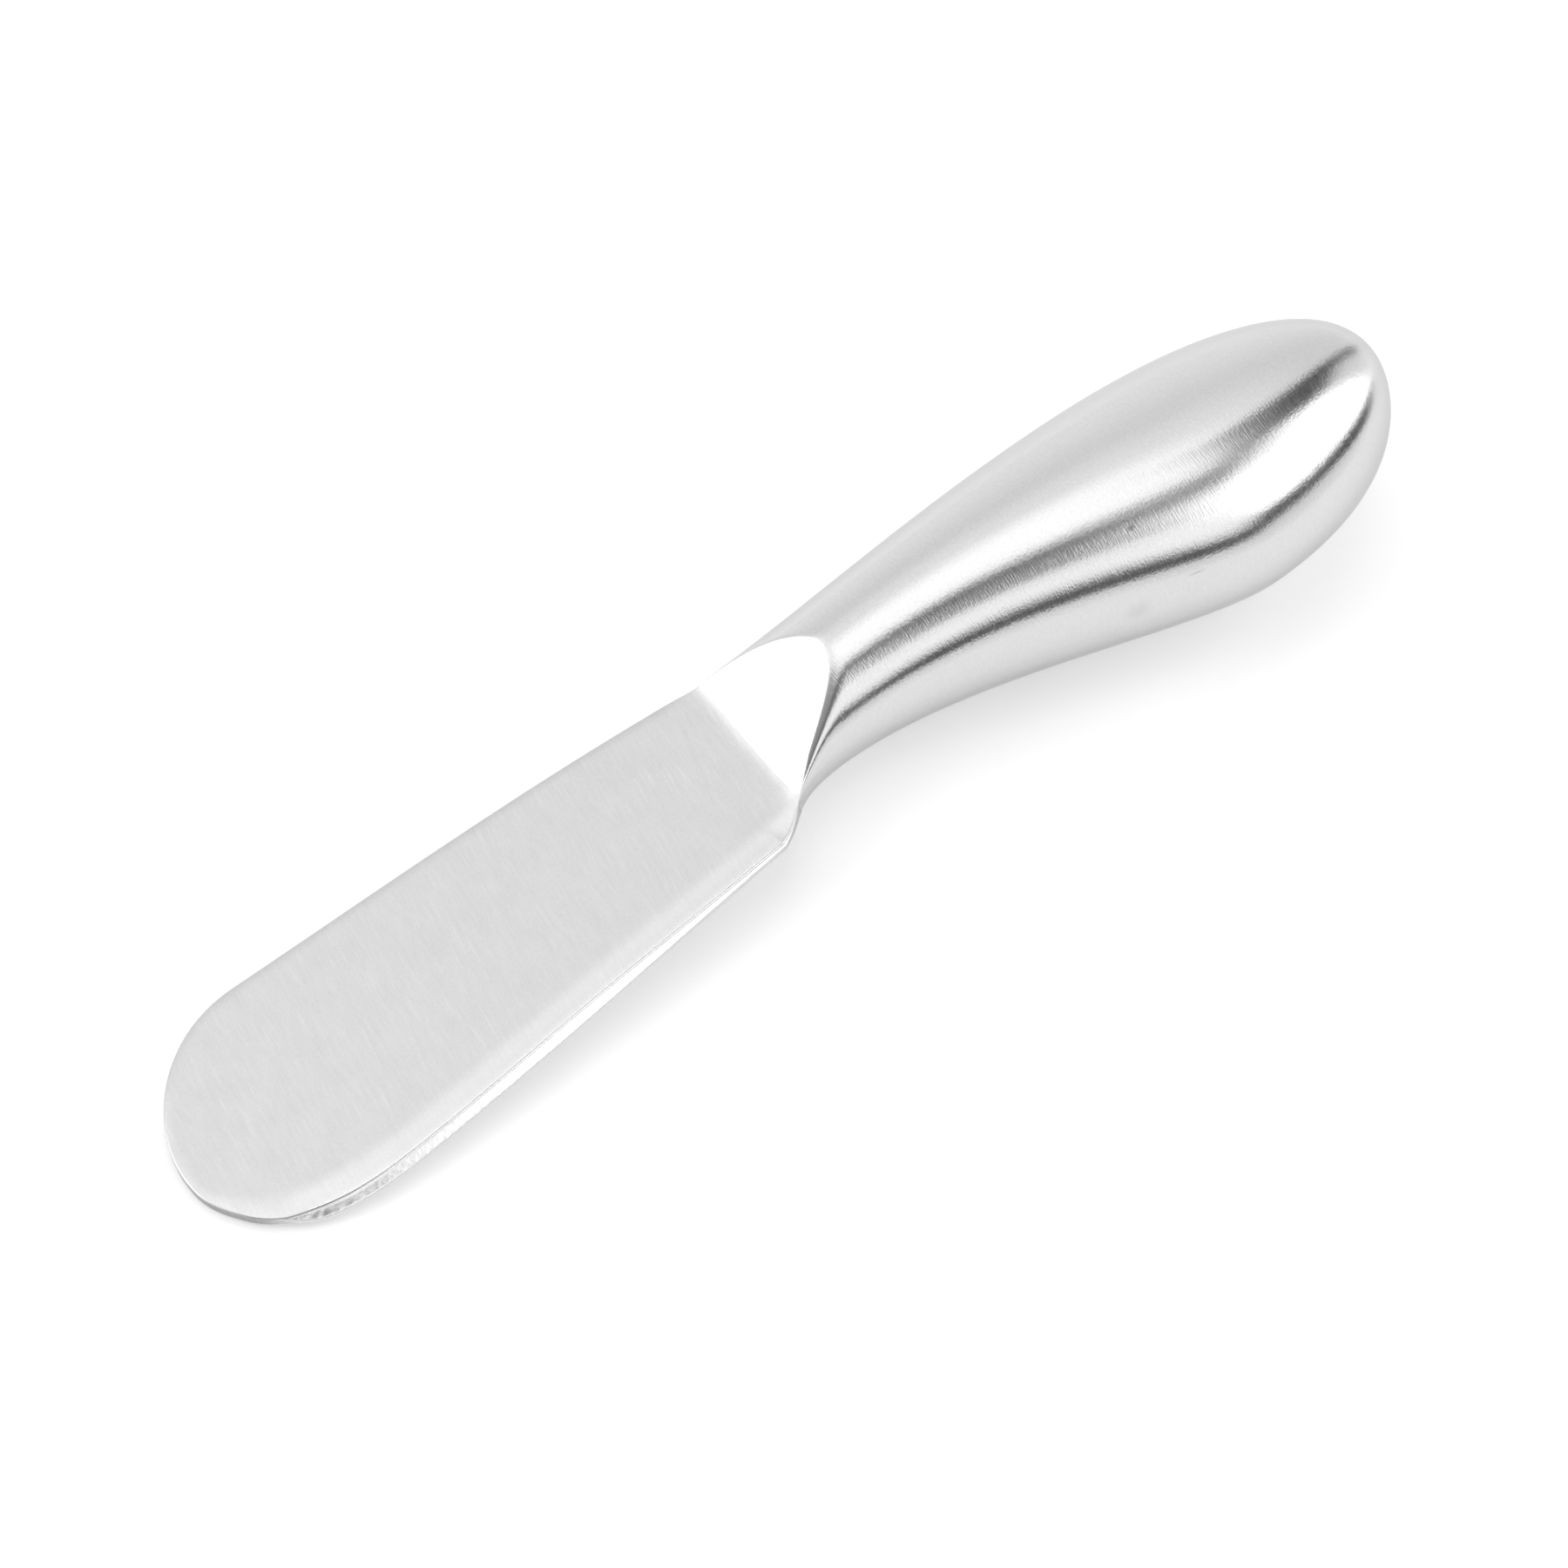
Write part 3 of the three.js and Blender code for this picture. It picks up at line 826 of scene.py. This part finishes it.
def handle_finish():
    finish, tree, shader = material("satin handle steel")
    shader.inputs["Anisotropic"].default_value = 0.75
    fine = strokes(tree, 70, 9, 0.0, 2.0)
    cloud = grit(tree, 90.0)
    grain = grit(tree, 4500.0)
    worn = put(tree, "ShaderNodeAttribute", out="Fac", attribute_name="worn")
    speck = scuff(tree, 38.4, 19.7, 0.6, 0.35) * fine
    scratch = scuff(tree, 41.8, 25.1, 1.3, 0.16)
    smudge = scuff(tree, 35.8, 26.6, 1.8, 1.3) * grain
    marks = speck * 0.8 + scratch * 0.12 + smudge * 0.12
    streaks = (fine - 0.5) * 0.06 + (grain - 0.5) * 0.08 + (cloud - 0.5) * 0.03
    # The ramps and the sides beside them: partly polished wear, smoother and less marked, partly a
    # painted highlight that lightens the crease
    tone = streaks + worn * 0.03 - marks + HANDLE_TONE
    uneven = (fine - 0.5) * 0.08 + (cloud - 0.5) * 0.06
    rough = uneven - worn * 0.02 + marks * 0.3 + HANDLE_ROUGHNESS
    height = (fine + grain * 0.55) * (worn * -0.85 + 1.0) - marks * 2.0
    finish_steel(tree, shader, tone, rough, height, HANDLE_MARK_DEPTH)
    return finish


def set_resin():
    finish, tree, shader = material("set resin")
    cloud = grit(tree, 160.0, 5.0)
    grain = grit(tree, 1400.0)
    shade = two_tones(tree, cloud, (0.22, 0.20, 0.17), (0.34, 0.32, 0.27))
    feed(tree, shader.inputs["Base Color"], shade)
    feed(tree, shader.inputs["Roughness"], grain * 0.2 + 0.72)
    emboss(tree, shader, grain, 0.5, 8e-5)
    return finish


def braze_metal():
    finish, tree, shader = material("braze metal")
    shader.inputs["Metallic"].default_value = 1.0
    ripple = grit(tree, 420.0, 3.0)
    heat = grit(tree, 90.0)
    shade = two_tones(tree, heat, (0.48, 0.36, 0.15), (0.66, 0.52, 0.26))
    feed(tree, shader.inputs["Base Color"], shade)
    feed(tree, shader.inputs["Roughness"], ripple * 0.3 + 0.3)
    emboss(tree, shader, ripple, 0.6, 1e-4)
    return finish


# The knife on the table

face_mount = next(m for m in frame["record"]["mounts"] if m["name"] == "blade_upper_face")
lying_angle = math.atan2(-face_mount["axis"][0], face_mount["axis"][2])
turn_down = Matrix.Rotation(-lying_angle, 4, "Y")
mount_from_bend = -0.032
on_knife = turn_down.to_3x3() @ Vector((mount_from_bend, 0, HALF_BLADE / 1000))
knife_origin = Vector(face_mount["pos_m"]) - on_knife
to_table = Matrix.Translation(knife_origin) @ turn_down @ Matrix.Scale(0.001, 4)


def lay_piece(name, mesh, finish, node, root_finish=None):
    """Lays a mesh on the table as a finished piece. What is past the bend line may have a finish of
    its own."""
    mesh.name = name
    mesh.materials.clear()
    mesh.materials.append(finish)
    if root_finish:
        mesh.materials.append(root_finish)
        for face in mesh.polygons:
            face.material_index = int(face.center.x > 0)
    mesh.set_sharp_from_angle(angle=SHARP_ANGLE)
    mesh.transform(to_table)
    piece = bpy.data.objects.new(name, mesh)
    bpy.context.scene.collection.objects.link(piece)
    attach(piece, "root")
    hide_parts(node)


blade_steel = blade_finish()
handle_steel = handle_finish()

butt = Vector((HANDLE_LENGTH, 0, 0))
back_points = points_along(back_stops(0), LINE_STEP) + [butt]
front_points = points_along(front_stops(0), LINE_STEP) + [butt]
shell_lines = {
    "Back line": bent_line("back line", back_stops(0)),
    "Front line": bent_line("front line", front_stops(0)),
    "Height line": bent_line("height line", height_stops(0)),
    "Hollow back line": bent_line("hollow back line", back_stops(SHELL_WALL)),
    "Hollow front line": bent_line("hollow front line", front_stops(SHELL_WALL)),
    "Hollow height line": bent_line("hollow height line", height_stops(SHELL_WALL)),
}
shell_tree = half_shell_tree()
for name, side, start in (("upper_shell", 1.0, 0.0), ("lower_shell", -1.0, 2 * HANDLE_LENGTH)):
    mesh = half_shell_mesh(shell_tree, shell_lines, side, handle_steel)
    mark_mesh(mesh, handle_brush(back_points, front_points, start), handle_wear_and_crease_highlight)
    lay_piece(name, mesh, handle_steel, name.replace("shell", "handle_shell"))
for line in shell_lines.values():
    bpy.data.objects.remove(line)

mesh = blade_mesh(back_points, front_points)
mesh.shade_smooth()
mark_mesh(mesh, blade_brush(handle_brush(back_points, front_points, 0.0)), blade_wear_and_tip_shade)
lay_piece("spreading_blade", mesh, blade_steel, "blade", handle_steel)

for node, finish in (("tang_cement", set_resin()), ("seam_braze", braze_metal())):
    held = frame["nodes"][node].data.materials
    held.clear()
    held.append(finish)


# Table, light and camera

right = Vector((math.cos(VIEW_TURN), -math.sin(VIEW_TURN), 0))
behind = Vector((math.sin(VIEW_TURN), math.cos(VIEW_TURN), 0))
upright = Vector((0, 0, 1))


def towards(round_deg, rise_deg):
    """Direction from the knife: round from the picture's right to its back, and above the table."""
    a, e = math.radians(round_deg), math.radians(rise_deg)
    return (right * math.cos(a) + behind * math.sin(a)) * math.cos(e) + upright * math.sin(e)


def screen(name, seen_from, stations, distance, finish):
    """A curved screen round the table that the camera doesn't see. At each bearing it reaches from
    a lower to an upper elevation, seen from that place along the handle."""
    centre = to_table @ Vector((seen_from, 0, 0))
    levels = 6
    widest_step = 4
    columns = []
    for (round_a, low_a, high_a), (round_b, low_b, high_b) in zip(stations, stations[1:]):
        steps = math.ceil((round_b - round_a) / widest_step)
        for k in range(steps + 1):
            s = k / steps
            low = low_a + (low_b - low_a) * s
            high = high_a + (high_b - high_a) * s
            bearing = round_a + (round_b - round_a) * s
            columns.append([centre + towards(bearing, low + (high - low) * n / levels) * distance
                            for n in range(levels + 1)])
    faces = []
    for c in range(len(columns) - 1):
        for n in range(levels):
            first = c * (levels + 1) + n
            faces.append((first, first + levels + 1, first + levels + 2, first + 1))
    mesh = bpy.data.meshes.new(name)
    mesh.from_pydata([place for column in columns for place in column], [], faces)
    mesh.materials.append(finish)
    obj = bpy.data.objects.new(name, mesh)
    bpy.context.scene.collection.objects.link(obj)
    obj.visible_camera = False


def glowing(name, strength):
    finish = bpy.data.materials.new(name)
    finish.use_nodes = True
    tree = finish.node_tree
    tree.nodes.clear()
    glow = put(tree, "ShaderNodeEmission", {"Color": (1, 1, 1, 1), "Strength": strength})
    feed(tree, tree.nodes.new("ShaderNodeOutputMaterial").inputs["Surface"], glow)
    return finish


def flag_cloth(name, grey):
    finish, _, shader = material(name)
    shader.inputs["Base Color"].default_value = (grey, grey, grey, 1)
    shader.inputs["Roughness"].default_value = 1.0
    shader.inputs["Specular IOR Level"].default_value = 0.0
    return finish


def table_top():
    """A pale matt top that shows white, and keeps the knife's shadow."""
    finish = bpy.data.materials.new("white table top")
    finish.use_nodes = True
    tree = finish.node_tree
    tree.nodes.clear()
    lift = 0.30
    pale = grit(tree, 40.0, 3.0) * 0.02 + 0.78
    matt = put(tree, "ShaderNodeBsdfDiffuse", {"Color": join(tree, pale, pale, pale)})
    path = tree.nodes.new("ShaderNodeLightPath")
    seen = Wire(tree, path.outputs["Is Camera Ray"])
    for ray in ("Is Glossy Ray", "Is Transmission Ray"):
        seen = seen.math("MAXIMUM", Wire(tree, path.outputs[ray]))
    glow = put(tree, "ShaderNodeEmission", {"Strength": seen * lift})
    both = put(tree, "ShaderNodeAddShader", {0: matt, 1: glow})
    feed(tree, tree.nodes.new("ShaderNodeOutputMaterial").inputs["Surface"], both)
    return finish


floor_mesh = bpy.data.meshes.new("table")
half_table = 3
corners = [(-half_table, -half_table, 0), (half_table, -half_table, 0),
           (half_table, half_table, 0), (-half_table, half_table, 0)]
floor_mesh.from_pydata(corners, [], [(0, 1, 2, 3)])
floor_mesh.materials.append(table_top())
floor = bpy.data.objects.new("table", floor_mesh)
bpy.context.scene.collection.objects.link(floor)

# Screens that the handle reflects: each station's bearing, lower and upper elevation, in degrees
softbox = glowing("softbox cloth", 1.9)
reflector = glowing("white reflector", 1.5)
black_flag = flag_cloth("black flag", 0.06)
dark_flag = flag_cloth("dark flag", 0.13)
grey_flag = flag_cloth("grey flag", 0.35)
screen("right softbox", 52, [
    (-55, 57, 61), (-51, 51.5, 63), (-46.5, 44.5, 64), (-42, 36.5, 64), (-38.5, 29.5, 64),
    (-36, 26, 64), (-28, 24.3, 63.3), (-20, 23.8, 62.6), (-12, 23, 62), (-6, 22, 61.7),
    (3, 19.5, 61.3), (19, 8, 60.3), (27, 3, 59), (31, 0, 40), (34, 4, 8),
], 0.80, softbox)
screen("flag over the softbox", 30, [
    (-95, 41, 69), (-75, 47.5, 69.5), (-66, 48, 69.5), (-60, 47.5, 73.5), (-55, 51, 76),
    (-50, 63, 77.5), (-42, 66, 77.5), (-35, 66.5, 77), (0, 65.5, 74.5), (30, 60.5, 71),
    (60, 66, 73.5),
], 0.90, dark_flag)
screen("dim camera side", 0, [(-160, 38, 60), (-140, 38, 72), (-80, 38, 73)], 0.95, grey_flag)
screen("reflector beside the camera", 25, [
    (-72, 33, 53), (-64, 29, 47.5), (-58, 26, 43), (-52, 22, 38), (-46, 21, 30), (-43, 22.5, 25.5),
], 0.78, reflector)
screen("near wing of the softbox", 45, [
    (-61, 53, 58.5), (-56, 48, 61), (-50, 42, 62), (-44, 34, 60), (-40, 29, 50),
], 0.35, softbox)
screen("flag right of the softbox", 57, [
    (22, 59.5, 67), (27, 56, 68.5), (31, 51, 69.5), (32.5, 46, 70), (34, 43, 70), (37, 40.5, 70),
    (42, 38.5, 70), (46, 34.5, 69), (50, 31.5, 67.5), (56.2, 31, 65),
], 0.75, black_flag)
screen("pole right of the softbox", 57, [(49, 3, 33), (57, 0, 34)], 0.75, grey_flag)
screen("flag under the softbox", 25, [
    (-82, 8, 25), (-72, 8, 24.5), (-66, 8, 23.5), (-60, 8, 21), (-57, 8, 19), (-50, 8.5, 17.5),
    (-46, 9, 18.5), (-42.5, 10, 22.5), (-39, 11, 27), (-35, 12, 26), (-31, 12.3, 24.8),
    (-27, 12.5, 24.2), (-20, 13, 23.7), (-12, 12, 22.9), (-6, 10.5, 21.7), (8, 3, 13.5),
    (20, -2, 7), (31, -4, 1),
], 0.75, black_flag)


def softbox_lamp(name, round_deg, rise_deg, distance, width, height, level):
    """An area lamp that shows as a surface of that brightness."""
    lamp = bpy.data.lights.new(name, "AREA")
    lamp.shape = "RECTANGLE"
    lamp.size = width
    lamp.size_y = height
    lamp.energy = level * math.pi * width * height
    obj = bpy.data.objects.new(name, lamp)
    way = towards(round_deg, rise_deg)
    obj.location = way * distance
    obj.rotation_euler = way.to_track_quat("Z", "Y").to_euler()
    bpy.context.scene.collection.objects.link(obj)


softbox_lamp("softbox on the left", -175, 36, 1.1, 0.8, 0.7, 1.8)

# Light from all round: a haze that is brighter low down, towards the back wall and overhead
world = bpy.data.worlds.new("pale studio")
world.use_nodes = True
sky = world.node_tree
way = put(sky, "ShaderNodeTexCoord", out="Generated")
_, _, rise = split(sky, way)
low_end, haze_from, haze_to, overhead_rise = (math.sin(math.radians(a)) for a in (30, 40, 62, 83))
facing = put(sky, "ShaderNodeVectorMath", {0: way, 1: towards(110, 0)}, "Value",
             operation="DOT_PRODUCT")
back_wall = eased_range(sky, facing, 0.72, 1.0, 0.0, 0.13)
low_haze = eased_range(sky, rise, 0.0, low_end, 0.08, 0.0)
haze = eased_range(sky, rise, haze_from, haze_to, 0.92, 1.10)
zenith = eased_range(sky, rise, haze_to, overhead_rise, 0.0, 0.55)
overhead = haze + low_haze + back_wall + zenith
feed(sky, sky.nodes["Background"].inputs["Strength"], overhead)
sky.nodes["Background"].inputs["Color"].default_value = (1, 1, 1, 1)
bpy.context.scene.world = world

looking = (behind * math.cos(VIEW_RISE) - upright * math.sin(VIEW_RISE)).normalized()
image_up = (behind * math.sin(VIEW_RISE) + upright * math.cos(VIEW_RISE)).normalized()
aim = to_table @ Vector((0, VIEW_AIM, 0))
eye = aim - right * VIEW_SIDE - image_up * VIEW_LIFT - looking * VIEW_DISTANCE
lens = bpy.data.cameras.new("photograph's view")
lens.sensor_width = 36
lens.lens = VIEW_LENS
lens.clip_start = 0.01
camera = bpy.data.objects.new("photograph's view", lens)
turned = Matrix((right, image_up, -looking)).transposed()
camera.matrix_world = Matrix.Translation(eye) @ turned.to_4x4()
bpy.context.scene.collection.objects.link(camera)
bpy.context.scene.camera = camera
bpy.context.scene.view_settings.view_transform = "Standard"
